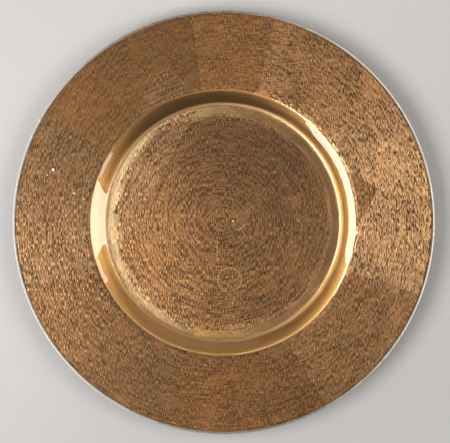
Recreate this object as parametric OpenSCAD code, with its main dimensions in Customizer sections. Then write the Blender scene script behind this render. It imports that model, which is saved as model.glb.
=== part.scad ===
// Glass charger plate, gilded on its back.
// A clear pressed glass plate carries squares of metal leaf laid on its underside, a seal coat over the
// backs of the leaves and small bumpers that it stands on. The bumpers stand on z = 0, the axis of the
// plate is +Z, and +Y points to the top of the plate as it is looked down on.

/* [Plate] */
// Outside diameter of the glass
plate_d = 330; // [300:1:360]
// Diameter across the lip of the well
lip_d = 209; // [195:1:225]
// Width of the sloping wall of the well, seen from above
wall_run = 11.7; // [10:0.1:16]
// Depth of the well from its lip to the foot of its wall
well_depth = 7.2; // [6:0.1:10]
// How far the wall swells above a straight slope
wall_swell = 0.6; // [0.2:0.1:1.5]
// Diameter of the level middle of the well
level_d = 150; // [140:1:158]
// Rise of the floor of the well from its level middle to the foot of the wall
floor_rise = 1; // [0.4:0.1:2]
// Rise of the rim from the lip to the outer edge
rim_rise = 3; // [1:0.5:6]
// Thickness of the glass
glass_t = 4; // [3:0.1:6]

/* [Roundings of the face] */
// Radius where the level middle of the well turns up
floor_round = 250; // [100:10:300]
// Radius in the corner between the floor and the wall
corner_round = 3; // [1:0.1:4]
// Radius along the swell of the wall
wall_round = 38; // [20:1:40]
// Radius over the lip
lip_round = 8; // [4:0.5:9]
// Radius of the two arrises of the ground edge
edge_round = 1; // [0.5:0.1:1.4]

/* [Roundings of the back] */
// Radius behind the corner of the well
back_corner_round = 12; // [6:1:12]
// Radius behind the swell of the wall
back_wall_round = 32; // [20:1:40]
// Radius behind the lip
back_lip_round = 12; // [6:1:13]

/* [Gilding] */
// Thickness of the leaf
leaf_t = 0.15; // [0.1:0.05:0.2]
// Thickness of the seal coat behind the leaf
seal_t = 0.25; // [0.15:0.05:0.4]
// Clear margin between the arris and the leaf
leaf_margin = 0.2; // [0.1:0.1:2]
// Side of a square of leaf
leaf_side = 155; // [140:1:170]
// How far the middle leaf of the well lies to the right of the axis
well_leaf_right = 17; // [10:1:24]
// How far the middle leaf of the well lies below the axis
well_leaf_down = 4; // [0:1:8]
// Turn of the two leaves of the well
well_leaf_turn = 61; // [50:1:70]
// Width of the left leaf of the well that shows beside the middle one
well_leaf_step = 40; // [30:1:45]
// Radius that the rim leaves reach in to, behind the leaves of the well
tuck_r = 45; // [35:1:50]

/* [Bumpers] */
// Diameter of a bumper where it is stuck on
bumper_d = 12; // [8:0.5:16]
// Height of a bumper
bumper_h = 2.2; // [1.5:0.1:4]
// Radius round the standing face of a bumper
bumper_round = 1.2; // [0.5:0.1:1.4]
// Draft of the side of a bumper
bumper_draft = 0.4; // [0.1:0.1:1]
// Diameter of the circle that the bumpers stand on
bumper_pcd = 126; // [90:1:132]

/* [Hidden] */
$fn = 120;
ARC_ANGLE = 6;
SHARP = 0;
BUMPER_STEP = 90;
BUMPER_START = 45;

// Rim leaves round the plate, each with the azimuths of the tucked end and of the outer end of the seam
// that it begins at; it runs on to the seam of the next
RIM_LEAVES = [
    ["leaf_right", -24, -20],
    ["leaf_upper_right", 52, 36],
    ["leaf_top", 70, 75],
    ["leaf_upper_left", 100, 98],
    ["leaf_left", 152, 148],
    ["leaf_lower_left", 203, 200],
    ["leaf_bottom", 252, 256],
    ["leaf_lower_right", 296, 300],
];
WELL_LEAVES = ["leaf_well_left", "leaf_well"];
BUMPERS = ["bumper_upper_right", "bumper_upper_left", "bumper_lower_left", "bumper_lower_right"];

plate_r = plate_d / 2;
lip_r = lip_d / 2;
corner_r = lip_r - wall_run;
under_z = bumper_h + seal_t + leaf_t;
floor_z = under_z + glass_t;
corner_z = floor_z + floor_rise;
lip_z = corner_z + well_depth;
rim_z = lip_z + rim_rise;
rim_slope = atan2(rim_rise, plate_r - lip_r);
edge_h = glass_t / cos(rim_slope);
leaf_reach = edge_round + leaf_margin;
well_leaf_end = leaf_side / 2 + well_leaf_step;
wall_mid = [corner_r + lip_r, corner_z + lip_z] / 2;
wall_out = left_of([corner_r, corner_z], [lip_r, lip_z]);

// Corners of the face from the axis to the outer edge, and the radius of each
face_corners = [
    [0, floor_z],
    [level_d / 2, floor_z],
    [corner_r, corner_z],
    wall_mid + wall_swell * wall_out,
    [lip_r, lip_z],
    [plate_r, rim_z],
];
face_rounds = [SHARP, floor_round, corner_round, wall_round, lip_round, edge_round];

// Corners of the ground edge, down and in to where the leaf ends
edge_low = [plate_r, rim_z - edge_h];
leaf_end = edge_low - leaf_reach * [1, tan(rim_slope)];
outer_corners = concat(face_corners, [edge_low, leaf_end]);
outer_rounds = concat(face_rounds, [edge_round, SHARP]);

// Corners of the back from the axis to the end of the leaf
back_face = shifted(face_corners, -glass_t);
back_corners = concat([for (i = [0:4]) back_face[i]], [leaf_end]);
back_rounds = [SHARP, SHARP, back_corner_round, back_wall_round, back_lip_round, SHARP];

// Unit vector to the left of the way from a to b
function left_of(a, b) = [a.y - b.y, b.x - a.x] / norm(b - a);

// 1 where the line of corners c turns left at corner i, -1 where it turns right
function turn_sign(c, i) = sign(cross(c[i] - c[i - 1], c[i + 1] - c[i]));

// The line of corners c moved d to its left, with mitred corners
function shifted(c, d) = [
    for (i = [0:len(c) - 1])
        i == 0 ? c[0] + d * left_of(c[0], c[1])
        : i == len(c) - 1 ? c[i] + d * left_of(c[i - 1], c[i])
        : let (n1 = left_of(c[i - 1], c[i]), n2 = left_of(c[i], c[i + 1]))
            c[i] + d * (n1 + n2) / (1 + n1 * n2)
];

// Points of an arc of radius r that rounds corner b of the line a, b, c, held within its two sides
function corner_arc(a, b, c, r) =
    let (
        u = (b - a) / norm(b - a),
        v = (c - b) / norm(c - b),
        side = sign(cross(u, v)),
        bend = acos(u * v),
        reach = min(r * tan(bend / 2), min(norm(b - a), norm(c - b)) / 2),
        radius = reach / tan(bend / 2),
        start = b - reach * u,
        centre = start + side * radius * [-u.y, u.x],
        from = atan2(start.y - centre.y, start.x - centre.x),
        steps = max(2, ceil(bend / ARC_ANGLE))
    )
    [
        for (k = [0:steps])
            let (azimuth = from + side * bend * k / steps)
                centre + radius * [cos(azimuth), sin(azimuth)]
    ];

// The line of corners c moved d to its left, with each corner rounded by its radius in r
function skin_line(c, r, d) =
    let (line = shifted(c, d))
    [
        for (i = [0:len(c) - 1])
            each r[i] == SHARP ? [line[i]]
            : corner_arc(line[i - 1], line[i], line[i + 1], r[i] - turn_sign(c, i) * d)
    ];

function reversed(list) = [for (i = [len(list) - 1:-1:0]) list[i]];

// Layer behind the glass, between two distances from its back
module back_layer(near, far) {
    rotate_extrude() polygon(concat(
        skin_line(back_corners, back_rounds, -near),
        reversed(skin_line(back_corners, back_rounds, -far))
    ));
}

module glass_plate() {
    back = skin_line(back_corners, back_rounds, 0);
    color([0.85, 0.92, 0.9, 0.4]) rotate_extrude() polygon(concat(
        skin_line(outer_corners, outer_rounds, 0),
        reversed([for (i = [0:len(back) - 2]) back[i]])
    ));
}

// Point at an azimuth on a circle about the axis
function around(radius, azimuth) = radius * [cos(azimuth), sin(azimuth)];

// Tucked end of the seam that rim leaf k begins at, and a point of it beyond the edge of the plate
function seam(k) =
    let (
        leaf = RIM_LEAVES[k % len(RIM_LEAVES)],
        tucked = around(tuck_r, leaf[1])
    )
    [tucked, 2 * around(plate_r, leaf[2]) - tucked];

// Upright prism between the two seams of rim leaf k
module rim_prism(k) {
    linear_extrude(rim_z) polygon(concat(seam(k), reversed(seam(k + 1))));
}

// Upright prism over the leaves of the well, between two distances from the middle of the middle leaf
module well_prism(from, to) {
    translate([well_leaf_right, -well_leaf_down, 0]) rotate(well_leaf_turn)
        translate([-leaf_side / 2, from, 0]) cube([leaf_side, to - from, rim_z]);
}

// The part of rim leaf k that shows beside the leaves of the well
module rim_leaf(k) {
    color("goldenrod") difference() {
        intersection() {
            back_layer(0, leaf_t);
            rim_prism(k);
        }
        well_prism(-leaf_side / 2, well_leaf_end);
    }
}

// The part of the left leaf of the well that shows beside the middle one
module leaf_well_left() {
    color("gold") intersection() {
        back_layer(0, leaf_t);
        well_prism(leaf_side / 2, well_leaf_end);
    }
}

module leaf_well() {
    color("darkgoldenrod") intersection() {
        back_layer(0, leaf_t);
        well_prism(-leaf_side / 2, leaf_side / 2);
    }
}

module seal_coat() {
    color("saddlebrown") back_layer(leaf_t, leaf_t + seal_t);
}

// One of the bumpers, stuck to the seal coat under the level middle of the well
module bumper(k) {
    top = [bumper_d / 2, bumper_h];
    low = [bumper_d / 2 - bumper_draft, 0];
    color("whitesmoke") rotate(BUMPER_START + BUMPER_STEP * k) translate([bumper_pcd / 2, 0, 0])
        rotate_extrude() polygon(concat(
            [[0, bumper_h], [0, 0]],
            corner_arc([0, 0], low, top, bumper_round),
            [top]
        ));
}

glass_plate();
for (k = [0:len(RIM_LEAVES) - 1])
    rim_leaf(k);
leaf_well_left();
leaf_well();
seal_coat();
for (k = [0:len(BUMPERS) - 1])
    bumper(k);
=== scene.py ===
"""Dresses a charger plate of clear pressed glass, gilded on its back with squares of brushed metal leaf.

The glass is a turned section with its own polish, the leaf is cut along its seams from one skin that
follows the back of the glass, and a seal coat and four bumpers finish the underside. Sizes are in metres,
the axis of the plate is +Z and the bumpers stand on z = 0.
"""

import bisect
import logging
import math
from dataclasses import dataclass, field
from enum import Enum
from typing import Any, Iterable, Sequence

import bmesh
import bpy
from bmesh.types import BMesh, BMFace, BMVert
from bpy.types import Material, Mesh, Node, NodeSocket as Socket, NodeTree, Object
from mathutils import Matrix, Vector
from mathutils.kdtree import KDTree


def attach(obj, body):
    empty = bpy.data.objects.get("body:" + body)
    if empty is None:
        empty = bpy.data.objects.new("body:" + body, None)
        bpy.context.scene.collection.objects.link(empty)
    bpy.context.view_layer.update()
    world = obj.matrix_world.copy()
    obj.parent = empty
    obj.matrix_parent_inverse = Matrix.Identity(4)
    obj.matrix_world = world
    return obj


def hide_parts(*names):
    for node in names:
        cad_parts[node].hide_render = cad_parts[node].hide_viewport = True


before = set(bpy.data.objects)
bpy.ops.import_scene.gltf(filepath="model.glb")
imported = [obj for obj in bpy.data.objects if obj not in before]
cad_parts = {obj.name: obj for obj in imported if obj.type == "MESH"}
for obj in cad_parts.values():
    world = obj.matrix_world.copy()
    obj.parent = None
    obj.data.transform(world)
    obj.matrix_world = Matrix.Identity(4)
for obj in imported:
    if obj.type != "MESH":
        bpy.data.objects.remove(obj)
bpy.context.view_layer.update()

LOG = logging.getLogger("charger_plate")
BODY = "root"
MM = 0.001
IMAGE_WIDTH = 450
FULL_TURN = 360.0
MERGE_DISTANCE = 1e-6
CUT_DISTANCE = 1e-7
ON_AXIS = 1e-9

Colour = tuple[float, float, float, float]
Point = tuple[float, float]
Span = tuple[float, float]
Value = Any

# Spans of values that several finishes read
UNIT: Span = (0.0, 1.0)
BROAD: Span = (0.3, 0.7)
MIDDLE = 0.5

# Share of the width of a soft line that is at full strength
LINE_CORE = 1 / 3

# Colours of the leaf that its marks share
PALE_LEAF: Colour = (0.56, 0.330, 0.160, 1.0)
DARK_LEAF: Colour = (0.047, 0.0210, 0.0070, 1.0)
# The next gold is painted light: the glow at the foot of the wall and the highlight on the lip
PAINTED_LIGHT_GOLD: Colour = (0.78, 0.49, 0.20, 1.0)
BARE_SPOT: Colour = (0.95, 0.86, 0.72, 1.0)


class SocketKind(Enum):
    """Kinds of socket on the interface of a node group."""

    VALUE = "NodeSocketFloat"
    COUNT = "NodeSocketInt"
    VECTOR = "NodeSocketVector"
    GEOMETRY = "NodeSocketGeometry"
    MATERIAL = "NodeSocketMaterial"


def heading(azimuth: float, length: float = 1.0) -> tuple[float, float, float]:
    """Gives the level vector of a length that points along an azimuth."""
    return (length * math.cos(azimuth), length * math.sin(azimuth), 0.0)


def blended(first: Colour, second: Colour, share: float) -> Colour:
    """Gives the colour that lies a share of the way from the first to the second."""
    return tuple(a + (b - a) * share for a, b in zip(first, second))


class NodeGraph:
    """Adds and joins nodes in one node tree."""

    LEVEL = (1.0, 1.0, 0.0)
    NUMBER_RESULTS = {"LENGTH", "DOT_PRODUCT"}
    MIX_COLOURS = (6, 7)
    MIX_RESULT = 2

    def __init__(self, tree: NodeTree) -> None:
        """Takes the tree to build in."""
        self.tree = tree

    def add(self, kind: str, *values: Value, **settings: Value) -> Node:
        """Adds a node.

        Args:
            kind: Node type.
            values: Values or links of its first inputs, in order.
            settings: Properties to set on the node.

        Returns:
            The new node.
        """
        node = self.tree.nodes.new(kind)
        for name, value in settings.items():
            setattr(node, name, value)
        for socket, value in zip(node.inputs, values):
            self.feed(socket, value)
        return node

    def feed(self, socket: Socket, value: Value) -> None:
        """Links a socket to an output, or sets its own value.

        Args:
            socket: Input socket.
            value: An output socket, or a plain value.
        """
        if isinstance(value, Socket):
            self.tree.links.new(value, socket)
        else:
            socket.default_value = value

    def fill(self, node: Node, **inputs: Value) -> Node:
        """Feeds the inputs of a node by name.

        Args:
            node: The node.
            inputs: Values or links, by name, with _ for a space.

        Returns:
            The same node.
        """
        for name, value in inputs.items():
            self.feed(node.inputs[name.replace("_", " ")], value)
        return node

    def chain(self, geometry: Socket, *nodes: Node) -> Socket:
        """Runs a geometry through nodes.

        Args:
            geometry: Where it comes from.
            nodes: The nodes, in order.

        Returns:
            What comes out of the last node.
        """
        for node in nodes:
            self.feed(node.inputs[0], geometry)
            geometry = node.outputs[0]
        return geometry

    def math(self, operation: str, *values: Value, clamp: bool = False) -> Socket:
        """Gives the result of a math node, held between 0 and 1 where clamp is set."""
        return self.add("ShaderNodeMath", *values, operation=operation, use_clamp=clamp).outputs[0]

    def vector(self, operation: str, *values: Value) -> Socket:
        """Gives the vector of a vector math node, or its number for a length or a dot product."""
        node = self.add("ShaderNodeVectorMath", *values, operation=operation)
        return node.outputs["Value" if operation in self.NUMBER_RESULTS else "Vector"]

    def scaled(self, vector: Value, factor: Value) -> Socket:
        """Scales a vector by one factor."""
        node = self.add("ShaderNodeVectorMath", vector, operation="SCALE")
        return self.fill(node, Scale=factor).outputs["Vector"]

    def combine(self, x: Value, y: Value, z: Value) -> Socket:
        """Makes a vector of three numbers."""
        return self.add("ShaderNodeCombineXYZ", x, y, z).outputs[0]

    def level(self, vector: Value) -> Socket:
        """Takes the height out of a vector."""
        return self.vector("MULTIPLY", vector, self.LEVEL)

    def toward(self, vector: Value, azimuth: float, length: float = 1.0) -> Socket:
        """Measures a vector along an azimuth, times a length."""
        return self.vector("DOT_PRODUCT", vector, heading(azimuth, length))

    def gap(self, value: Value, target: float) -> Socket:
        """Gives how far a value is from a target."""
        return self.math("ABSOLUTE", self.math("SUBTRACT", value, target))

    def position(self) -> Socket:
        """Gives the place on the piece in Object coordinates."""
        return self.add("ShaderNodeTexCoord").outputs["Object"]

    def noise(self, vector: Value, scale: float, detail: float, roughness: float = 0.5) -> Socket:
        """Adds a noise texture.

        Args:
            vector: Where it is read.
            scale: Features to a metre, or to a unit of the vector.
            detail: Octaves.
            roughness: Weight of the finer octaves.

        Returns:
            Noise from 0 to 1.
        """
        node = self.add("ShaderNodeTexNoise")
        self.fill(node, Vector=vector, Scale=scale, Detail=detail, Roughness=roughness)
        return node.outputs["Fac"]

    def ramp(self, value: Value, span: Span, ends: tuple[Value, Value] = UNIT) -> Socket:
        """Eases from one end to the other while a value crosses a span.

        Args:
            value: The value read.
            span: Where the ease begins and ends.
            ends: Results before and after the span.

        Returns:
            The eased value.
        """
        node = self.add("ShaderNodeMapRange", interpolation_type="SMOOTHSTEP")
        self.fill(node, Value=value, From_Min=span[0], From_Max=span[1], To_Min=ends[0], To_Max=ends[1])
        return node.outputs["Result"]

    def line(self, off: Value, width: float, strength: float, core: float = LINE_CORE) -> Socket:
        """Masks what lies within a width, at full strength in its core."""
        return self.ramp(off, (core * width, width), (strength, 0.0))

    def mix(self, factor: Value, first: Value, second: Value) -> Socket:
        """Mixes two colours.

        Args:
            factor: Share of the second colour.
            first: First colour.
            second: Second colour.

        Returns:
            The mixed colour.
        """
        node = self.add("ShaderNodeMix", factor, data_type="RGBA")
        for slot, colour in zip(self.MIX_COLOURS, (first, second)):
            self.feed(node.inputs[slot], colour)
        return node.outputs[self.MIX_RESULT]

    def bump(self, height: Socket, strength: float, depth: float) -> Socket:
        """Gives the normal of a surface that a height raises by up to a depth."""
        node = self.add("ShaderNodeBump")
        return self.fill(node, Strength=strength, Distance=depth, Height=height).outputs["Normal"]

    def group(self, tree: NodeTree, **inputs: Value) -> Node:
        """Places a shader node group and feeds its inputs by name, with _ for a space."""
        return self.fill(self.add("ShaderNodeGroup", node_tree=tree), **inputs)


def new_group(
    name: str, kind: str, inputs: dict[str, SocketKind], outputs: dict[str, SocketKind]
) -> tuple[NodeGraph, Node, Node]:
    """Makes an empty node group with its interface.

    Args:
        name: Name of the group.
        kind: Type of the tree.
        inputs: Input sockets by name.
        outputs: Output sockets by name.

    Returns:
        The graph, its input node and its output node.
    """
    tree = bpy.data.node_groups.new(name, kind)
    for way, sockets in (("INPUT", inputs), ("OUTPUT", outputs)):
        for label, socket in sockets.items():
            tree.interface.new_socket(label, in_out=way, socket_type=socket.value)
    graph = NodeGraph(tree)
    return graph, graph.add("NodeGroupInput"), graph.add("NodeGroupOutput")


def new_material(name: str) -> tuple[Material, NodeGraph, Node]:
    """Makes a node material.

    Args:
        name: Name of the finish.

    Returns:
        The material, its graph and its Principled shader.
    """
    material = bpy.data.materials.new(name)
    material.use_nodes = True
    return material, NodeGraph(material.node_tree), material.node_tree.nodes["Principled BSDF"]


@dataclass(frozen=True)
class Corner:
    """A corner of a section line: distance from the axis, height and the radius that rounds it."""

    out: float
    up: float
    radius: float = 0.0


@dataclass(frozen=True)
class Station:
    """A point of a section line, with the unit direction to the left of the line."""

    out: float
    up: float
    left: Point


@dataclass(frozen=True)
class SectionLine:
    """A line of rounded corners in the half plane beside the axis."""

    corners: tuple[Corner, ...]
    arc_step: float = math.radians(2.5)

    LEAST_STEPS = 2

    def way(self, i: int) -> tuple[Point, float]:
        """Measures a side of the line.

        Args:
            i: Number of the side.

        Returns:
            Its unit direction and its length.
        """
        a, b = self.corners[i], self.corners[i + 1]
        length = math.hypot(b.out - a.out, b.up - a.up)
        return ((b.out - a.out) / length, (b.up - a.up) / length), length

    def turn(self, i: int) -> float:
        """Tells which way the line turns.

        Args:
            i: Number of the corner.

        Returns:
            1 for a turn to the left and -1 for one to the right.
        """
        (ux, uy), _ = self.way(i - 1)
        (vx, vy), _ = self.way(i)
        return math.copysign(1.0, ux * vy - uy * vx)

    def moved(self, distance: float) -> "SectionLine":
        """Moves the line to its left, with mitred corners.

        Args:
            distance: How far it moves.

        Returns:
            The moved line.
        """
        last = len(self.corners) - 1
        result = []
        for i, corner in enumerate(self.corners):
            (ux, uy), _ = self.way(max(i - 1, 0))
            (vx, vy), _ = self.way(min(i, last - 1))
            share = distance / (1.0 + ux * vx + uy * vy)
            radius = corner.radius
            if 0 < i < last and radius > 0.0:
                radius -= self.turn(i) * distance
            result.append(Corner(corner.out - share * (uy + vy), corner.up + share * (ux + vx), radius))
        return SectionLine(tuple(result), self.arc_step)

    def reversed(self) -> "SectionLine":
        """Gives the same line from its end to its start."""
        return SectionLine(self.corners[::-1], self.arc_step)

    def joined(self, other: "SectionLine") -> "SectionLine":
        """Gives this line carried on by another."""
        return SectionLine(self.corners + other.corners, self.arc_step)

    def trace(self) -> list[Station]:
        """Rounds each corner within its two sides.

        Returns:
            The points of the line.
        """
        last = len(self.corners) - 1
        stations = []
        for i, corner in enumerate(self.corners):
            (ux, uy), before = self.way(max(i - 1, 0))
            (vx, vy), after = self.way(min(i, last - 1))
            if i in (0, last) or corner.radius == 0.0:
                lefts = {(-uy, ux), (-vy, vx)} if i not in (0, last) else {(-vy, vx)}
                stations += [Station(corner.out, corner.up, left) for left in sorted(lefts, reverse=True)]
                continue
            side = self.turn(i)
            bend = math.acos(max(-1.0, min(1.0, ux * vx + uy * vy)))
            reach = min(corner.radius * math.tan(bend / 2), before / 2, after / 2)
            radius = side * reach / math.tan(bend / 2)
            centre = (corner.out - reach * ux - radius * uy, corner.up - reach * uy + radius * ux)
            steps = max(self.LEAST_STEPS, math.ceil(bend / self.arc_step))
            for k in range(steps + 1):
                angle = math.atan2(uy, ux) + side * bend * k / steps
                left = (-math.sin(angle), math.cos(angle))
                stations.append(Station(centre[0] - radius * left[0], centre[1] - radius * left[1], left))
        return stations


@dataclass(frozen=True)
class PlateShape:
    """Sizes of the glass, and the section lines that the other pieces follow."""

    plate_radius: float = 165 * MM
    lip_radius: float = 104.5 * MM
    wall_run: float = 11.7 * MM
    well_depth: float = 7.2 * MM
    wall_swell: float = 0.6 * MM
    level_radius: float = 75 * MM
    floor_rise: float = 1 * MM
    rim_rise: float = 3 * MM
    thickness: float = 4 * MM
    under_height: float = 2.6 * MM
    floor_round: float = 250 * MM
    corner_round: float = 3 * MM
    wall_round: float = 38 * MM
    lip_round: float = 8 * MM
    edge_round: float = 1 * MM
    back_corner_round: float = 12 * MM
    back_wall_round: float = 32 * MM
    back_lip_round: float = 12 * MM
    leaf_margin: float = 0.2 * MM

    @property
    def foot_radius(self) -> float:
        """Gives the radius of the foot of the wall."""
        return self.lip_radius - self.wall_run

    @property
    def rim_slope(self) -> float:
        """Gives the rise of the rim over its width."""
        return self.rim_rise / (self.plate_radius - self.lip_radius)

    @property
    def rim_height(self) -> float:
        """Gives the height of the outer corner of the face."""
        return self.under_height + self.thickness + self.floor_rise + self.well_depth + self.rim_rise

    @property
    def edge_height(self) -> float:
        """Gives the height of the edge, which is upright."""
        return self.thickness * math.hypot(1.0, self.rim_slope)

    def face(self) -> SectionLine:
        """Draws the face of the glass.

        Returns:
            Line from the axis to the outer corner.
        """
        foot = self.foot_radius
        level = self.under_height + self.thickness
        low = level + self.floor_rise
        high = low + self.well_depth
        chord = math.hypot(self.wall_run, self.well_depth)
        swell_out = (foot + self.lip_radius) / 2 - self.wall_swell * self.well_depth / chord
        swell_up = (low + high) / 2 + self.wall_swell * self.wall_run / chord
        return SectionLine((
            Corner(0.0, level),
            Corner(self.level_radius, level, self.floor_round),
            Corner(foot, low, self.corner_round),
            Corner(swell_out, swell_up, self.wall_round),
            Corner(self.lip_radius, high, self.lip_round),
            Corner(self.plate_radius, self.rim_height, self.edge_round),
        ))

    def back(self) -> SectionLine:
        """Draws the back of the glass.

        Returns:
            Line from the axis to where the leaf ends.
        """
        rounds = (0.0, self.floor_round, self.back_corner_round, self.back_wall_round, self.back_lip_round)
        corners = self.face().moved(-self.thickness).corners[:len(rounds)]
        reach = self.edge_round + self.leaf_margin
        end = Corner(self.plate_radius - reach, self.rim_height - self.edge_height - reach * self.rim_slope)
        return SectionLine(tuple(Corner(c.out, c.up, r) for c, r in zip(corners, rounds)) + (end,))

    def outline(self) -> SectionLine:
        """Draws the whole outline of the glass.

        Returns:
            Line from the axis round to the axis.
        """
        low_edge = Corner(self.plate_radius, self.rim_height - self.edge_height, self.edge_round)
        back = SectionLine(self.back().corners[:-1]).reversed()
        return self.face().joined(SectionLine((low_edge,))).joined(back)


class Turning:
    """Geometry node trees that turn a section round the axis and stand copies on a circle."""

    SPINE_RADIUS = 50 * MM
    INPUTS = {"Section": SocketKind.GEOMETRY, "Segments": SocketKind.COUNT, "Finish": SocketKind.MATERIAL}
    OUTPUTS = {"Geometry": SocketKind.GEOMETRY}

    def __init__(self) -> None:
        """Builds the two trees."""
        self.turned = self._turned_tree()
        self.circle = self._circle_tree()

    def _turned_tree(self) -> NodeTree:
        """Builds the tree that sweeps a section line round the axis.

        Returns:
            The tree.
        """
        graph, start, end = new_group("Turned section", "GeometryNodeTree", self.INPUTS, self.OUTPUTS)
        profile = graph.chain(start.outputs["Section"], graph.add("GeometryNodeMeshToCurve"))
        spine = graph.add("GeometryNodeCurvePrimitiveCircle")
        graph.fill(spine, Resolution=start.outputs["Segments"], Radius=self.SPINE_RADIUS)
        sweep = graph.add("GeometryNodeCurveToMesh")
        graph.fill(sweep, Curve=spine.outputs["Curve"], Profile_Curve=profile)
        merge = graph.fill(graph.add("GeometryNodeMergeByDistance"), Distance=MERGE_DISTANCE)
        smooth = graph.add("GeometryNodeSetShadeSmooth")
        self._end(graph, start, end, graph.chain(sweep.outputs["Mesh"], merge, smooth))
        return graph.tree

    def _circle_tree(self) -> NodeTree:
        """Builds the tree that stands copies of a turned section on a circle.

        Returns:
            The tree.
        """
        sizes = {
            "Count": SocketKind.COUNT, "Circle Radius": SocketKind.VALUE, "Start Angle": SocketKind.VALUE
        }
        graph, start, end = new_group(
            "Turned sections on a circle", "GeometryNodeTree", self.INPUTS | sizes, self.OUTPUTS
        )
        turned = graph.add("GeometryNodeGroup", node_tree=self.turned)
        graph.fill(turned, **{name: start.outputs[name] for name in self.INPUTS})
        ring = graph.add("GeometryNodeMeshCircle")
        graph.fill(ring, Vertices=start.outputs["Count"], Radius=start.outputs["Circle Radius"])
        place = graph.add("GeometryNodeTransform")
        graph.fill(place, Rotation=graph.combine(0.0, 0.0, start.outputs["Start Angle"]))
        copies = graph.fill(graph.add("GeometryNodeInstanceOnPoints"), Instance=turned.outputs["Geometry"])
        self._end(graph, start, end, graph.chain(ring.outputs["Mesh"], place, copies))
        return graph.tree

    @staticmethod
    def _end(graph: NodeGraph, start: Node, end: Node, geometry: Socket) -> None:
        """Makes a geometry real, gives it its finish and puts it out.

        Args:
            graph: Graph of the tree.
            start: Input node of the tree.
            end: Output node of the tree.
            geometry: What the tree has made.
        """
        real = graph.add("GeometryNodeRealizeInstances")
        finish = graph.fill(graph.add("GeometryNodeSetMaterial"), Material=start.outputs["Finish"])
        graph.feed(end.inputs["Geometry"], graph.chain(geometry, real, finish))

    def make(
        self, name: str, stations: Sequence[Station], tree: NodeTree, **inputs: Value
    ) -> Object:
        """Turns a section into a plain closed mesh.

        Args:
            name: Name of the piece.
            stations: Points of the section, from the axis round to the axis.
            tree: One of the two trees.
            inputs: Values of the tree's inputs, by name, with _ for a space.

        Returns:
            The piece.
        """
        points = [(s.out - self.SPINE_RADIUS, -s.up, 0.0) for s in stations]
        points = [p for i, p in enumerate(points) if i == 0 or p != points[i - 1]]
        section = bpy.data.meshes.new(f"{name}_section")
        section.from_pydata(points, [(i, i + 1) for i in range(len(points) - 1)], [])
        maker = new_object(f"{name}_maker", section)
        modifier = maker.modifiers.new("Turning", "NODES")
        modifier.node_group = tree
        for item in tree.interface.items_tree:
            key = item.name.replace(" ", "_")
            if item.in_out == "INPUT" and key in inputs:
                modifier[item.identifier] = inputs[key]
        graph = bpy.context.evaluated_depsgraph_get()
        mesh = bpy.data.meshes.new_from_object(maker.evaluated_get(graph))
        bpy.data.objects.remove(maker)
        bpy.data.meshes.remove(section)
        close_and_face_out(mesh)
        return new_object(name, mesh)


def new_object(name: str, mesh: Mesh) -> Object:
    """Puts a mesh into the scene as an object at the origin.

    Args:
        name: Name of the object and of its mesh.
        mesh: The mesh.

    Returns:
        The object.
    """
    mesh.name = name
    piece = bpy.data.objects.new(name, mesh)
    bpy.context.scene.collection.objects.link(piece)
    return piece


def close_and_face_out(mesh: Mesh) -> None:
    """Merges doubled points and turns all faces outwards.

    Args:
        mesh: The mesh to mend.
    """
    work = bmesh.new()
    work.from_mesh(mesh)
    bmesh.ops.remove_doubles(work, verts=work.verts, dist=MERGE_DISTANCE)
    bmesh.ops.recalc_face_normals(work, faces=work.faces)
    work.to_mesh(mesh)
    work.free()


def polish(mesh: Mesh, stations: Sequence[Station]) -> None:
    """Gives a turned mesh the true normals of its section.

    Args:
        mesh: A mesh turned round the axis.
        stations: The section that it was turned from, with its left side outside.
    """
    tree = KDTree(len(stations))
    for i, station in enumerate(stations):
        tree.insert((station.out, station.up, 0.0), i)
    tree.balance()
    normals: list[Vector] = [Vector((0.0, 0.0, 1.0))] * len(mesh.loops)
    for face in mesh.polygons:
        for k in face.loop_indices:
            spot = mesh.vertices[mesh.loops[k].vertex_index].co
            place = (math.hypot(spot.x, spot.y), spot.z, 0.0)
            near = tree.find_range(place, 2 * MERGE_DISTANCE) or [tree.find(place)]
            choices = [turned_left(stations[i].left, spot) for _, i, _ in near]
            normals[k] = max(choices, key=face.normal.dot)
    mesh.normals_split_custom_set(normals)


def turned_left(left: Point, spot: Vector) -> Vector:
    """Turns a direction of the section to the azimuth of a spot.

    Args:
        left: Direction outwards and upwards.
        spot: Where it is needed.

    Returns:
        Unit direction there.
    """
    out = math.hypot(spot.x, spot.y)
    if out < ON_AXIS:
        return Vector((0.0, 0.0, math.copysign(1.0, left[1])))
    return Vector((left[0] * spot.x / out, left[0] * spot.y / out, left[1]))


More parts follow.
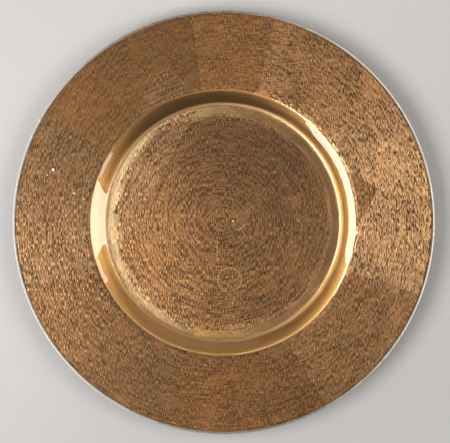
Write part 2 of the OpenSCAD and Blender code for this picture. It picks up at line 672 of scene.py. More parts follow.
class SharedEffects:
    """Shader node groups that more than one finish uses."""

    EVEN_RADIUS = 50 * MM
    WOBBLE_SCALE = 30.0
    WOBBLE_REACH = 3 * MM
    PATINA = {"Blotch": (34.0, 4.0), "Rub": (62.0, 3.0), "Grain": (1500.0, 2.0)}
    PATINA_ROUGHNESS = 0.6

    def __init__(self) -> None:
        """Builds the groups once."""
        self.strokes = self._strokes()
        self.patina = self._patina()

    def _strokes(self) -> NodeTree:
        """Builds brush strokes that run round the axis, with a lean for strokes that spiral.

        Returns:
            The group.
        """
        sizes = dict.fromkeys(("Facing", "Lean", "Count", "Fineness", "Seed"), SocketKind.VALUE)
        graph, start, end = new_group(
            "Ring strokes",
            "ShaderNodeTree",
            {"Position": SocketKind.VECTOR} | sizes,
            {"Height": SocketKind.VALUE},
        )
        turn = graph.add("ShaderNodeVectorRotate", rotation_type="Z_AXIS")
        back = graph.math("MULTIPLY", start.outputs["Facing"], -1.0)
        graph.fill(turn, Vector=start.outputs["Position"], Angle=back)
        flat = graph.level(turn.outputs["Vector"])
        parts = graph.add("ShaderNodeSeparateXYZ", flat)
        radius = graph.vector("LENGTH", flat)
        azimuth = graph.math("ARCTAN2", parts.outputs["Y"], parts.outputs["X"])
        wobble = graph.math("SUBTRACT", graph.noise(flat, self.WOBBLE_SCALE, detail=1.0), MIDDLE)
        waved = graph.math("MULTIPLY_ADD", wobble, self.WOBBLE_REACH, radius)
        across = graph.math("MULTIPLY_ADD", azimuth, start.outputs["Lean"], waved)
        even = graph.math("MAXIMUM", radius, self.EVEN_RADIUS)
        along = graph.scaled(flat, graph.math("DIVIDE", start.outputs["Count"], even))
        depth = graph.combine(0.0, 0.0, graph.math("MULTIPLY", across, start.outputs["Fineness"]))
        seed = graph.combine(*[start.outputs["Seed"]] * 3)
        spot = graph.vector("ADD", graph.vector("ADD", along, depth), seed)
        graph.feed(end.inputs["Height"], graph.noise(spot, scale=1.0, detail=0.0))
        return graph.tree

    def _patina(self) -> NodeTree:
        """Builds broad blotches, rubbed patches and a fine grain.

        Returns:
            The group.
        """
        graph, start, end = new_group(
            "Patina",
            "ShaderNodeTree",
            {"Position": SocketKind.VECTOR, "Seed": SocketKind.VALUE},
            dict.fromkeys(self.PATINA, SocketKind.VALUE),
        )
        seed = graph.combine(0.0, 0.0, start.outputs["Seed"])
        spot = graph.vector("ADD", start.outputs["Position"], seed)
        for name, (scale, detail) in self.PATINA.items():
            graph.feed(end.inputs[name], graph.noise(spot, scale, detail, self.PATINA_ROUGHNESS))
        return graph.tree


@dataclass(frozen=True)
class GlassFinish:
    """Clear pressed glass with a faint press waviness and handling haze."""

    tint: Colour = (0.985, 0.992, 0.985, 1.0)
    index: float = 1.5
    seed: float = 3.0
    haze_span: Span = (0.5, 0.75)
    haze: Span = (0.0, 0.035)
    wave_strength: float = 0.3
    wave_depth: float = 0.02 * MM

    def material(self, effects: SharedEffects) -> Material:
        """Builds the finish.

        Args:
            effects: Shared node groups.

        Returns:
            The material.
        """
        material, graph, shader = new_material("clear_glass")
        blotch = graph.group(effects.patina, Position=graph.position(), Seed=self.seed).outputs["Blotch"]
        graph.fill(
            shader,
            Base_Color=self.tint,
            Transmission_Weight=1.0,
            IOR=self.index,
            Roughness=graph.ramp(blotch, self.haze_span, self.haze),
            Normal=graph.bump(blotch, self.wave_strength, self.wave_depth),
        )
        return material


@dataclass(frozen=True)
class GroundEdgeFinish:
    """The ground edge of the glass, frosted by the wheel, with painted light where it faces along one axis
    and painted shade elsewhere.
    """

    light: Colour = (0.72, 0.67, 0.58, 1.0)
    dark: Colour = (0.54, 0.49, 0.41, 1.0)
    shaded: Colour = (0.24, 0.20, 0.15, 1.0)
    painted_edge_light_axis: float = math.radians(10)
    painted_edge_light_span: Span = (0.2, 0.9)
    roughness: Span = (0.22, 0.34)
    clearness: float = 0.4
    index: float = 1.5
    seed: float = 29.0

    def material(self, effects: SharedEffects) -> Material:
        """Builds the finish.

        Args:
            effects: Shared node groups.

        Returns:
            The material.
        """
        material, graph, shader = new_material("ground_glass_edge")
        position = graph.position()
        patina = graph.group(effects.patina, Position=position, Seed=self.seed)
        outward = graph.vector("NORMALIZE", graph.level(position))
        # Painted light and shade: the edge lighter where it faces along this axis, shaded across it
        facing = graph.math("ABSOLUTE", graph.toward(outward, self.painted_edge_light_axis))
        ground = graph.mix(patina.outputs["Grain"], self.dark, self.light)
        graph.fill(
            shader,
            Base_Color=graph.mix(graph.ramp(facing, self.painted_edge_light_span), self.shaded, ground),
            Roughness=graph.ramp(patina.outputs["Blotch"], BROAD, self.roughness),
            Transmission_Weight=self.clearness,
            IOR=self.index,
        )
        return material


@dataclass(frozen=True)
class Brushing:
    """How one leaf was brushed out.

    The leans turn its strokes off the ring, and stroke, hatch and speck are the strengths of each kind.
    tone and pale set its brightness and paleness, partly the sheet's own and partly painted light that makes
    it brighter and paler where the lamps catch the rim, and floor_tone its brightness in the well, also
    partly painted light. Its glow strength paints a glow of light at the foot of the wall, count is how many
    strokes end to end span a radian, its tilt paints the well brighter to one side and glow_shift moves the
    painted glow off the axis.
    """

    lean: float
    cross_lean: float
    stroke: float
    hatch: float
    speck: float
    tone: float
    pale: float
    floor_tone: float = 0.27
    painted_glow_strength: float = 0.3
    count: float = 20.0
    tilt: float = 0.0
    glow_shift: float = 0.0


@dataclass(frozen=True)
class StrokeKind:
    """Strokes that run round the axis: how fine they are, where they begin to show and how far they sway."""

    fineness: float
    seed_step: float
    span: Span
    sway: float


@dataclass(frozen=True)
class LeafPlace:
    """What the finish of a leaf reads at each spot.

    outward points away from the axis, inside masks the floor of the well and brushed all but its wall,
    the glow fields give the painted glow of light at the foot of the wall, and the sheen field is strong in
    the two painted fans of light on the rim.
    """

    graph: NodeGraph
    position: Socket
    flat: Socket
    radius: Socket
    outward: Socket
    patina: Node
    inside: Socket
    brushed: Socket
    painted_glow: Socket
    painted_glow_strength: Socket
    painted_sheen: Socket


@dataclass(frozen=True)
class RingLine:
    """A line round the axis in the leaf, which paints a highlight or a dark line.

    width reaches from its middle to the end of its soft side, and change makes it stronger towards axis.
    """

    radius: float
    width: float
    strength: float
    tint: Colour
    axis: float = 0.0
    change: float = 0.0

    def mask(self, place: LeafPlace) -> Socket:
        """Masks the line.

        Args:
            place: What the finish reads.

        Returns:
            Mask that is strongest along the line.
        """
        graph = place.graph
        off = graph.gap(place.radius, self.radius)
        line = graph.line(off, self.width, self.strength)
        side = graph.toward(place.outward, self.axis, self.change)
        return graph.math("MULTIPLY_ADD", side, line, line)


@dataclass(frozen=True)
class RingMark:
    """A worn ring in the leaf, open on the side nearest the viewer; a dot where its radius is 0."""

    right: float
    up: float
    radius: float
    width: float
    strength: float

    CORE = 1 / 2
    OPENING = (-0.9, -0.6)
    OPENING_SOFT = (-2 * MM, -1 * MM)

    @property
    def tint(self) -> Colour:
        """Gives pale leaf for a ring and a bare spot for a dot."""
        return PALE_LEAF if self.radius else BARE_SPOT

    def mask(self, place: LeafPlace) -> Socket:
        """Masks the ring.

        Args:
            place: What the finish reads.

        Returns:
            Mask from 0 to the strength of the mark.
        """
        graph = place.graph
        away = graph.vector("SUBTRACT", place.flat, (self.right, self.up, 0.0))
        off = graph.gap(graph.vector("LENGTH", away), self.radius)
        line = graph.line(off, self.width, self.strength, self.CORE)
        parts = graph.add("ShaderNodeSeparateXYZ", away)
        opening = tuple(share * self.radius + soft for share, soft in zip(self.OPENING, self.OPENING_SOFT))
        return graph.math("MULTIPLY", line, graph.ramp(parts.outputs["Y"], opening))


@dataclass(frozen=True)
class Scratch:
    """A straight scratch in the leaf, from its start to its end."""

    start: Point
    end: Point
    width: float = 0.6 * MM
    strength: float = 0.45
    tint: Colour = PALE_LEAF

    def mask(self, place: LeafPlace) -> Socket:
        """Masks the scratch.

        Args:
            place: What the finish reads.

        Returns:
            Mask from 0 to the strength of the scratch.
        """
        graph = place.graph
        way = Vector((*self.end, 0.0)) - Vector((*self.start, 0.0))
        away = graph.vector("SUBTRACT", place.flat, (*self.start, 0.0))
        along = graph.vector("DOT_PRODUCT", away, way)
        share = graph.math("MULTIPLY", along, 1.0 / way.length_squared, clamp=True)
        off = graph.vector("LENGTH", graph.vector("SUBTRACT", away, graph.scaled(tuple(way), share)))
        return graph.line(off, self.width, self.strength)


@dataclass(frozen=True)
class LeafFinish:
    """Metal leaf brushed round the plate, with strokes, rubbed patches and worn marks, and with painted
    light: fans of light on the rim, a glow at the foot of the wall and highlight lines.
    """

    name: str
    facing: float
    brushing: Brushing
    seed: float
    marks: tuple[RingMark | Scratch, ...] = ()
    light: Colour = (0.52, 0.240, 0.071, 1.0)
    ruddy: Colour = (0.30, 0.115, 0.05, 1.0)
    # Paler gold of the painted glow at the foot of the wall
    painted_glow_pale: Colour = (0.80, 0.58, 0.33, 1.0)
    wall_light: Colour = (0.40, 0.186, 0.036, 1.0)
    wall_dark: Colour = (0.31, 0.140, 0.025, 1.0)
    wall_high: Colour = (0.36, 0.185, 0.055, 1.0)
    wall_foot: float = 93.5 * MM
    wall_turn: float = 97 * MM
    wall_lip: float = 103.5 * MM
    wall_soft: float = 2 * MM
    wall_tone: float = 0.85
    # Painted light and shade: the wall lighter towards this azimuth and darker away from it
    painted_wall_light_axis: float = math.radians(-90)
    painted_wall_light_change: float = 0.42
    # Painted highlight lines at the foot of the wall and on the lip, the one on the lip stronger towards one
    # side, and a dark line at the end of the leaf, stronger towards one side
    lines: tuple[RingLine, ...] = (
        RingLine(94 * MM, 1.8 * MM, 0.9, (0.37, 0.24, 0.135, 1.0)),
        RingLine(104.3 * MM, 0.9 * MM, 0.26, PAINTED_LIGHT_GOLD, axis=math.radians(-45), change=0.85),
        RingLine(163.4 * MM, 1.4 * MM, 0.3, DARK_LEAF, axis=0.0, change=0.9),
    )
    rings: StrokeKind = StrokeKind(fineness=1700.0, seed_step=0.0, span=(0.36, 0.64), sway=0.7)
    arcs: StrokeKind = StrokeKind(fineness=800.0, seed_step=80.0, span=(0.35, 0.65), sway=0.3)
    arc_count: float = 4.0
    hatching: StrokeKind = StrokeKind(fineness=1650.0, seed_step=40.0, span=(0.38, 0.62), sway=1.0)
    hatch_count: float = 22.0
    streak_scale: tuple[float, float, float] = (1600.0, 290.0, 0.0)
    streak_detail: float = 0.5
    streak_span: Span = (0.36, 0.64)
    streak_dip: float = 0.75
    speck_span: Span = (0.62, 0.72)
    rub_span: Span = (0.42, 0.66)
    rub_strokes: Span = (1.0, 0.5)
    red_span: Span = (0.55, 0.75)
    red_share: Span = (0.0, 0.2)
    blotch_sway: Span = (-0.12, 0.12)
    # Painted highlight: two fans of light across the rim along this axis, which brighten the leaf and its
    # strokes
    painted_fan_axis: float = math.radians(16)
    painted_fan_gain: float = 0.75
    painted_fan_power: float = 8.0
    painted_fan_strokes: Span = (0.6, 1.0)
    # Painted light: the well brighter towards this azimuth, by the tilt over this reach
    painted_light_axis: float = math.radians(228)
    painted_light_reach: float = 70 * MM
    # Painted light: the glow at the foot of the wall, where it lies, which side it is stronger on, and how
    # far it fades the strokes and grain
    glow_axis: float = math.radians(20)
    glow_inset: float = 0.9
    painted_glow_start: float = 80 * MM
    painted_glow_full: float = 89 * MM
    painted_glow_axis: float = math.radians(150)
    painted_glow_change: float = 0.6
    painted_glow_strokes: Span = (1.0, 0.1)
    painted_glow_grain: Span = (0.35, 0.05)
    roughness: Span = (0.40, 0.31)
    bump_strength: float = 0.8
    bump_depth: float = 0.1 * MM

    def material(self, effects: SharedEffects) -> Material:
        """Builds the finish of one leaf.

        Args:
            effects: Shared node groups.

        Returns:
            The material.
        """
        material, graph, shader = new_material(self.name)
        place = self._place(graph, effects)
        strokes, specks = self._strokes(place, effects)
        weight = self._weight(place)
        centred = graph.math("MULTIPLY_ADD", strokes, weight, MIDDLE, clamp=True)
        lit = graph.math("MULTIPLY_ADD", specks, weight, centred)
        colour = graph.mix(place.brushed, self._wall(place), self._metal(place, lit))
        for mark in self.lines + self.marks:
            colour = graph.mix(mark.mask(place), colour, mark.tint)
        graph.fill(
            shader,
            Base_Color=colour,
            Metallic=1.0,
            Roughness=graph.ramp(centred, UNIT, self.roughness),
            Normal=graph.bump(centred, self.bump_strength, self.bump_depth),
        )
        return material

    def _place(self, graph: NodeGraph, effects: SharedEffects) -> LeafPlace:
        """Reads the plate at each spot of the leaf.

        Args:
            graph: Graph of the material.
            effects: Shared node groups.

        Returns:
            What the other methods read.
        """
        brushing = self.brushing
        position = graph.position()
        flat = graph.level(position)
        radius = graph.vector("LENGTH", flat)
        outward = graph.vector("NORMALIZE", flat)
        inside = graph.ramp(radius, (self.wall_foot - self.wall_soft, self.wall_foot), (1.0, 0.0))
        outside = graph.ramp(radius, (self.wall_lip, self.wall_lip + self.wall_soft))
        # Painted light: a glow at the foot of the wall, shifted off the axis and stronger towards one side
        shift = heading(self.glow_axis, brushing.glow_shift)
        glow_radius = graph.vector("LENGTH", graph.vector("SUBTRACT", flat, shift))
        inset = self.glow_inset * brushing.glow_shift
        glow = graph.ramp(glow_radius, (self.painted_glow_start + inset, self.painted_glow_full + inset))
        side = graph.toward(outward, self.painted_glow_axis, self.painted_glow_change)
        # Painted highlight: strongest where the rim faces along the fan axis
        facing = graph.math("ABSOLUTE", graph.toward(outward, self.painted_fan_axis))
        return LeafPlace(
            graph=graph,
            position=position,
            flat=flat,
            radius=radius,
            outward=outward,
            patina=graph.group(effects.patina, Position=position, Seed=self.seed),
            inside=inside,
            brushed=graph.math("ADD", inside, outside, clamp=True),
            painted_glow=graph.math("MULTIPLY", glow, inside),
            painted_glow_strength=graph.math("MULTIPLY_ADD", side, brushing.painted_glow_strength, brushing.painted_glow_strength),
            painted_sheen=graph.math("POWER", facing, self.painted_fan_power),
        )

    def _strokes(self, place: LeafPlace, effects: SharedEffects) -> tuple[Socket, Socket]:
        """Lays all strokes over one another.

        Args:
            place: What the finish reads.
            effects: Shared node groups.

        Returns:
            The strokes, about 0, and the bright specks.
        """
        graph, brushing = place.graph, self.brushing
        half = brushing.stroke / 2
        upright = graph.vector("MULTIPLY", place.position, self.streak_scale)
        streaks = graph.noise(graph.vector("ADD", upright, (self.seed,) * 3), 1.0, self.streak_detail)
        result = graph.ramp(streaks, self.streak_span, (-self.streak_dip * half, half))
        kinds = (
            (self.rings, brushing.lean, brushing.count, half),
            (self.arcs, 0.0, self.arc_count, half),
            (self.hatching, brushing.cross_lean, self.hatch_count, brushing.hatch / 2),
        )
        for kind, lean, count, reach in kinds:
            strokes = graph.group(
                effects.strokes,
                Position=place.position,
                Facing=math.radians(self.facing),
                Lean=lean,
                Count=count,
                Fineness=kind.fineness,
                Seed=self.seed + kind.seed_step,
            )
            sway = kind.sway * reach
            lines = graph.ramp(strokes.outputs["Height"], kind.span, (-sway, sway))
            result = graph.math("ADD", result, lines)
        return result, graph.ramp(streaks, self.speck_span, (0.0, brushing.speck))

    def _weight(self, place: LeafPlace) -> Socket:
        """Weighs the strokes: none on the wall, faint where the leaf is rubbed, in the painted glow at the
        foot of the wall and off the painted fans of light.

        Args:
            place: What the finish reads.

        Returns:
            Weight from 0 to 1.
        """
        graph = place.graph
        rub = graph.ramp(place.patina.outputs["Rub"], self.rub_span, self.rub_strokes)
        foot = graph.ramp(place.painted_glow, UNIT, self.painted_glow_strokes)
        rim = graph.ramp(place.painted_sheen, UNIT, self.painted_fan_strokes)
        weight = graph.math("MULTIPLY", place.brushed, graph.math("MULTIPLY", rub, foot))
        return graph.math("MULTIPLY", weight, graph.ramp(place.inside, UNIT, (rim, 1.0)))

    def _tone(self, place: LeafPlace) -> Socket:
        """Sets how bright the leaf is: by the painted fans of light on the rim, and in the well by painted
        light that is brighter to one side and glows at the foot of the wall.

        Args:
            place: What the finish reads.

        Returns:
            Factor on the brightness.
        """
        graph, brushing = place.graph, self.brushing
        painted_fan = graph.math("MULTIPLY_ADD", place.painted_sheen, self.painted_fan_gain, 1.0)
        rim = graph.math("MULTIPLY", painted_fan, brushing.tone)
        # Painted light: brighter towards one side of the well
        painted_light_slope = graph.toward(place.flat, self.painted_light_axis, brushing.tilt / self.painted_light_reach)
        floor = graph.math("MULTIPLY", graph.math("ADD", painted_light_slope, 1.0), brushing.floor_tone)
        glow = graph.math("MULTIPLY_ADD", place.painted_glow, place.painted_glow_strength, 1.0)
        return graph.math("MULTIPLY", glow, graph.ramp(place.inside, UNIT, (rim, floor)))

    def _metal(self, place: LeafPlace, lit: Socket) -> Socket:
        """Colours the brushed metal, with a painted glow of gold light at the foot of the wall.

        Args:
            place: What the finish reads.
            lit: How bright the strokes are.

        Returns:
            The colour.
        """
        graph, pale = place.graph, self.brushing.pale
        grain = graph.math("SUBTRACT", place.patina.outputs["Grain"], MIDDLE)
        grain = graph.math("MULTIPLY_ADD", grain, graph.ramp(place.painted_glow, UNIT, self.painted_glow_grain), lit)
        blotch = graph.ramp(place.patina.outputs["Blotch"], BROAD, self.blotch_sway)
        share = graph.math("MULTIPLY", graph.math("ADD", grain, blotch), self._tone(place), clamp=True)
        # Painted light: the share of the gold glow at the foot of the wall
        painted_glow_share = graph.math("MULTIPLY", place.painted_glow, place.painted_glow_strength, clamp=True)
        plain = blended(self.light, PALE_LEAF, pale)
        bright = graph.mix(painted_glow_share, plain, blended(PAINTED_LIGHT_GOLD, self.painted_glow_pale, pale))
        red = graph.ramp(place.patina.outputs["Rub"], self.red_span, self.red_share)
        return graph.mix(red, graph.mix(share, DARK_LEAF, bright), self.ruddy)

    def _wall(self, place: LeafPlace) -> Socket:
        """Colours the smooth metal behind the wall, painted lighter towards one side and darker towards the
        other.

        Args:
            place: What the finish reads.

        Returns:
            The colour.
        """
        graph, half = place.graph, self.wall_soft / 2
        blotch = graph.ramp(place.patina.outputs["Blotch"], BROAD)
        high = graph.ramp(place.radius, (self.wall_turn - half, self.wall_turn + half))
        wall = graph.mix(high, graph.mix(blotch, self.wall_dark, self.wall_light), self.wall_high)
        # Painted light and shade: lighter towards one side of the wall, darker towards the other
        side = graph.toward(place.outward, self.painted_wall_light_axis, self.painted_wall_light_change)
        return graph.scaled(wall, graph.math("ADD", side, self.wall_tone))


@dataclass(frozen=True)
class SealFinish:
    """Bronze brown seal coat, brushed on behind the leaf."""

    light: Colour = (0.115, 0.062, 0.030, 1.0)
    dark: Colour = (0.062, 0.032, 0.016, 1.0)
    count: float = 9.0
    fineness: float = 420.0
    stroke_seed: float = 71.0
    seed: float = 9.0
    blotch_share: float = 0.6
    light_span: Span = (0.5, 1.1)
    roughness: Span = (0.30, 0.48)
    bump_strength: float = 0.35
    bump_depth: float = 0.3 * MM

    def material(self, effects: SharedEffects) -> Material:
        """Builds the finish.

        Args:
            effects: Shared node groups.

        Returns:
            The material.
        """
        material, graph, shader = new_material("seal_coat_lacquer")
        position = graph.position()
        strokes = graph.group(
            effects.strokes,
            Position=position,
            Facing=0.0,
            Lean=0.0,
            Count=self.count,
            Fineness=self.fineness,
            Seed=self.stroke_seed,
        ).outputs["Height"]
        patina = graph.group(effects.patina, Position=position, Seed=self.seed)
        share = graph.math("MULTIPLY_ADD", patina.outputs["Blotch"], self.blotch_share, strokes)
        graph.fill(
            shader,
            Base_Color=graph.mix(graph.ramp(share, self.light_span), self.dark, self.light),
            Roughness=graph.ramp(patina.outputs["Rub"], BROAD, self.roughness),
            Normal=graph.bump(strokes, self.bump_strength, self.bump_depth),
        )
        return material


@dataclass(frozen=True)
class BumperFinish:
    """Soft clear rubber, a little cloudy and dusty."""

    body: Colour = (0.80, 0.79, 0.75, 1.0)
    dust: Colour = (0.52, 0.50, 0.46, 1.0)
    cloud_scale: float = 420.0
    cloud_detail: float = 3.0
    cloud_span: Span = (0.45, 0.75)
    cloud_share: Span = (0.0, 0.7)
    roughness: Span = (0.34, 0.52)
    clearness: float = 0.45
    index: float = 1.48
    seed: float = 17.0
    bump_strength: float = 0.2
    bump_depth: float = 0.1 * MM

    def material(self, effects: SharedEffects) -> Material:
        """Builds the finish.

        Args:
            effects: Shared node groups.

        Returns:
            The material.
        """
        material, graph, shader = new_material("bumper_rubber")
        position = graph.position()
        grain = graph.group(effects.patina, Position=position, Seed=self.seed).outputs["Grain"]
        clouds = graph.noise(position, self.cloud_scale, self.cloud_detail)
        cloud = graph.ramp(clouds, self.cloud_span, self.cloud_share)
        graph.fill(
            shader,
            Base_Color=graph.mix(cloud, self.body, self.dust),
            Roughness=graph.ramp(grain, BROAD, self.roughness),
            Transmission_Weight=self.clearness,
            IOR=self.index,
            Normal=graph.bump(grain, self.bump_strength, self.bump_depth),
        )
        return material


@dataclass(frozen=True)
class FloorFinish:
    """Plain pale table top with a trace of tooth, painted lighter towards one side and darker towards the
    other as the light falls off.
    """

    light: Colour = (0.318, 0.315, 0.313, 1.0)
    dark: Colour = (0.247, 0.2445, 0.243, 1.0)
    painted_falloff_axis: float = math.radians(125)
    painted_falloff_reach: float = 0.2
    tooth_scale: float = 700.0
    tooth_detail: float = 3.0
    tooth_share: float = 0.2
    roughness: Span = (0.7, 0.85)

    def material(self) -> Material:
        """Builds the finish.

        Returns:
            The material.
        """
        material, graph, shader = new_material("pale_floor")
        position = graph.position()
        tooth = graph.noise(position, self.tooth_scale, self.tooth_detail)
        # Painted light: the floor lighter towards this azimuth and darker away from it
        along = graph.toward(position, self.painted_falloff_axis)
        painted_falloff = graph.ramp(along, (-self.painted_falloff_reach, self.painted_falloff_reach))
        shade = graph.math("MULTIPLY_ADD", graph.math("SUBTRACT", tooth, MIDDLE), self.tooth_share, painted_falloff)
        graph.fill(
            shader,
            Base_Color=graph.mix(shade, self.dark, self.light),
            Roughness=graph.ramp(tooth, BROAD, self.roughness),
        )
        return material


def hand_over(piece: Object, nodes: Iterable[str]) -> None:
    """Rides a piece on the plate's body in place of its nodes.

    Args:
        piece: The finished piece.
        nodes: Nodes that it stands for.
    """
    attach(piece, BODY)
    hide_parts(*nodes)
    LOG.info("%s: %d faces", piece.name, len(piece.data.polygons))


@dataclass
class GlassPlate:
    """The pressed glass."""

    shape: PlateShape
    finish: GlassFinish = field(default_factory=GlassFinish)
    edge_finish: GroundEdgeFinish = field(default_factory=GroundEdgeFinish)
    segments: int = 288

    EDGE_SLOT = 1

    def build(self, turning: Turning, effects: SharedEffects) -> None:
        """Turns and dresses the glass.

        Args:
            turning: The turning trees.
            effects: Shared node groups.
        """
        stations = self.shape.outline().trace()
        finish = self.finish.material(effects)
        piece = turning.make("glass", stations, turning.turned, Segments=self.segments, Finish=finish)
        polish(piece.data, stations)
        piece.data.materials.append(self.edge_finish.material(effects))
        edge_radius = self.shape.plate_radius - self.shape.edge_round
        for face in piece.data.polygons:
            if math.hypot(face.center.x, face.center.y) > edge_radius:
                face.material_index = self.EDGE_SLOT
        hand_over(piece, ["glass_plate"])


@dataclass(frozen=True)
class RimLeaf:
    """A leaf of the rim, with the azimuths in degrees of the two ends of the seam that it begins at."""

    name: str
    tucked: float
    outer: float
    brushing: Brushing
    marks: tuple[RingMark, ...] = ()


@dataclass
class Gilding:
    """The ten leaves, cut along their seams from one skin behind the glass."""

    shape: PlateShape
    leaf_side: float = 155 * MM
    well_right: float = 17 * MM
    well_down: float = 4 * MM
    well_turn: float = math.radians(61)
    well_step: float = 40 * MM
    tuck_radius: float = 45 * MM
    bedding: float = 0.03 * MM
    thickness: float = 0.12 * MM
    segments: int = 240
    crown: float = math.radians(2.6)
    crown_fade: float = 10 * MM
    rim_seed: float = 5.0
    rim_seed_step: float = 11.0
    well_seed: float = 117.0
    well_left_seed: float = 103.0
    # Floor tones of the well's leaves are partly painted light, brighter towards the left of the well
    well_brushing: Brushing = Brushing(
        lean=0.0, cross_lean=0.0, stroke=2.4, hatch=0.0, speck=1.4, tone=0.24, pale=0.4,
        floor_tone=0.28, painted_glow_strength=0.8, count=5.0, tilt=0.28,
    )
    well_left_brushing: Brushing = Brushing(
        lean=0.0, cross_lean=0.0, stroke=2.6, hatch=0.0, speck=1.2, tone=0.25, pale=0.8,
        floor_tone=0.385, painted_glow_strength=0.75, count=5.0, glow_shift=8 * MM,
    )
    well_marks: tuple[RingMark | Scratch, ...] = (
        RingMark(5.9 * MM, -45.5 * MM, 9.4 * MM, 0.7 * MM, 0.35),
        RingMark(8.6 * MM, 1.0 * MM, 0.0, 1.0 * MM, 0.4),
        Scratch((-3.8 * MM, -14.6 * MM), (-3.8 * MM, -30.9 * MM), strength=0.4),
        Scratch((12.9 * MM, -6.4 * MM), (18.7 * MM, -1.5 * MM)),
        Scratch((43.4 * MM, 44.8 * MM), (51.3 * MM, 33.1 * MM), strength=0.2),
    )
    # Tones and paleness of the rim leaves are partly each sheet's own and partly painted light, brighter and
    # paler where the lamps catch the rim, and their floor tones brighter towards the lower left of the well
    rim: tuple[RimLeaf, ...] = (
        RimLeaf("leaf_right", -24, -20, Brushing(
            lean=0.010, cross_lean=-0.05, stroke=2.7, hatch=0.6, speck=1.4, tone=0.54, pale=0.9,
        )),
        RimLeaf("leaf_upper_right", 52, 36, Brushing(
            lean=0.04, cross_lean=-0.06, stroke=2.2, hatch=1.3, speck=1.2, tone=0.48, pale=0.5,
        )),
        RimLeaf("leaf_top", 70, 75, Brushing(
            lean=0.008, cross_lean=0.05, stroke=1.5, hatch=0.2, speck=1.2, tone=0.35, pale=0.1, painted_glow_strength=0.6,
        )),
        RimLeaf("leaf_upper_left", 100, 98, Brushing(
            lean=-0.01, cross_lean=0.04, stroke=1.5, hatch=0.2, speck=1.1, tone=0.22, pale=0.1,
        )),
        RimLeaf("leaf_left", 152, 148, Brushing(
            lean=0.006, cross_lean=-0.04, stroke=3.4, hatch=0.4, speck=2.0, tone=0.195, pale=0.9,
        ), (
            RingMark(-133.4 * MM, 41.7 * MM, 0.0, 1.2 * MM, 1.0),
            RingMark(-138.0 * MM, 37.5 * MM, 0.0, 0.9 * MM, 0.3),
            RingMark(-117.0 * MM, 22.9 * MM, 0.0, 1.0 * MM, 0.5),
            RingMark(-109.2 * MM, 18.2 * MM, 0.0, 0.9 * MM, 0.3),
        )),
        RimLeaf("leaf_lower_left", 203, 200, Brushing(
            lean=-0.012, cross_lean=0.05, stroke=3.6, hatch=0.5, speck=2.2, tone=0.182, pale=0.6,
            floor_tone=0.36, painted_glow_strength=0.65, glow_shift=8 * MM,
        )),
        RimLeaf("leaf_bottom", 252, 256, Brushing(
            lean=0.01, cross_lean=-0.05, stroke=3.0, hatch=0.3, speck=2.2, tone=0.23, pale=0.0,
            floor_tone=0.36, painted_glow_strength=0.75,
        )),
        RimLeaf("leaf_lower_right", 296, 300, Brushing(
            lean=-0.006, cross_lean=0.04, stroke=2.8, hatch=0.3, speck=1.9, tone=0.325, pale=0.5,
        )),
    )

    def seam(self, k: int) -> tuple[Vector, Vector]:
        """Places the seam that a leaf of the rim begins at.

        Args:
            k: Number of the leaf, past the last one too.

        Returns:
            The tucked end and the outer end.
        """
        leaf = self.rim[k % len(self.rim)]
        tucked = Vector(heading(math.radians(leaf.tucked), self.tuck_radius))
        return tucked, Vector(heading(math.radians(leaf.outer), self.shape.plate_radius))

    def well_axes(self) -> tuple[Vector, Vector, Vector]:
        """Places the leaves of the well.

        Returns:
            The middle of the middle leaf and the directions along and across the leaves.
        """
        middle = Vector((self.well_right, -self.well_down, 0.0))
        along = Vector(heading(self.well_turn))
        return middle, along, Vector((-along.y, along.x, 0.0))

    def cuts(self) -> list[tuple[Vector, Vector]]:
        """Places the upright planes that the seams lie in.

        Returns:
            A point and a normal of each plane.
        """
        middle, along, across = self.well_axes()
        half = self.leaf_side / 2
        planes = [(middle + along * side, along) for side in (-half, half)]
        planes += [(middle + across * side, across) for side in (-half, half, half + self.well_step)]
        for k in range(len(self.rim)):
            tucked, outer = self.seam(k)
            way = outer - tucked
            planes.append((tucked, Vector((-way.y, way.x, 0.0)).normalized()))
        return planes

    def owner(self, spot: Vector) -> str:
        """Names the leaf that shows at a spot.

        Args:
            spot: A point of the skin.

        Returns:
            Name of the leaf.
        """
        middle, along, across = self.well_axes()
        half = self.leaf_side / 2
        away = Vector((spot.x, spot.y, 0.0)) - middle
        if abs(away.dot(along)) < half and -half < away.dot(across) < half + self.well_step:
            return "leaf_well" if away.dot(across) < half else "leaf_well_left"
        for k, leaf in enumerate(self.rim):
            if self._left_of_seam(k, spot) and not self._left_of_seam(k + 1, spot):
                return leaf.name
        raise ValueError(f"no leaf at {spot}")

    def _left_of_seam(self, k: int, spot: Vector) -> bool:
        """Tells whether a spot lies to the left of a seam.

        Args:
            k: Number of the leaf that begins at the seam.
            spot: A point of the skin.

        Returns:
            True on the left, seen from the tucked end.
        """
        tucked, outer = self.seam(k)
        way = outer - tucked
        away = spot - tucked
        return way.x * away.y - way.y * away.x > 0.0

    def skin(self, stations: Sequence[Station]) -> BMesh:
        """Spreads the front of the leaf over the back of the glass and cuts it along all seams.

        Args:
            stations: Section of the front of the leaf.

        Returns:
            The cut skin.
        """
        work = bmesh.new()
        pole = work.verts.new((0.0, 0.0, stations[0].up))
        angles = [2 * math.pi * k / self.segments for k in range(self.segments)]
        rings = [
            [work.verts.new((s.out * math.cos(a), s.out * math.sin(a), s.up)) for a in angles]
            for s in stations[1:]
        ]
        for k in range(self.segments):
            nxt = (k + 1) % self.segments
            work.faces.new((pole, rings[0][k], rings[0][nxt]))
            for inner, outer in zip(rings, rings[1:]):
                work.faces.new((inner[k], outer[k], outer[nxt], inner[nxt]))
        for spot, normal in self.cuts():
            geometry = work.verts[:] + work.edges[:] + work.faces[:]
            bmesh.ops.bisect_plane(work, geom=geometry, plane_co=spot, plane_no=normal, dist=CUT_DISTANCE)
        return work

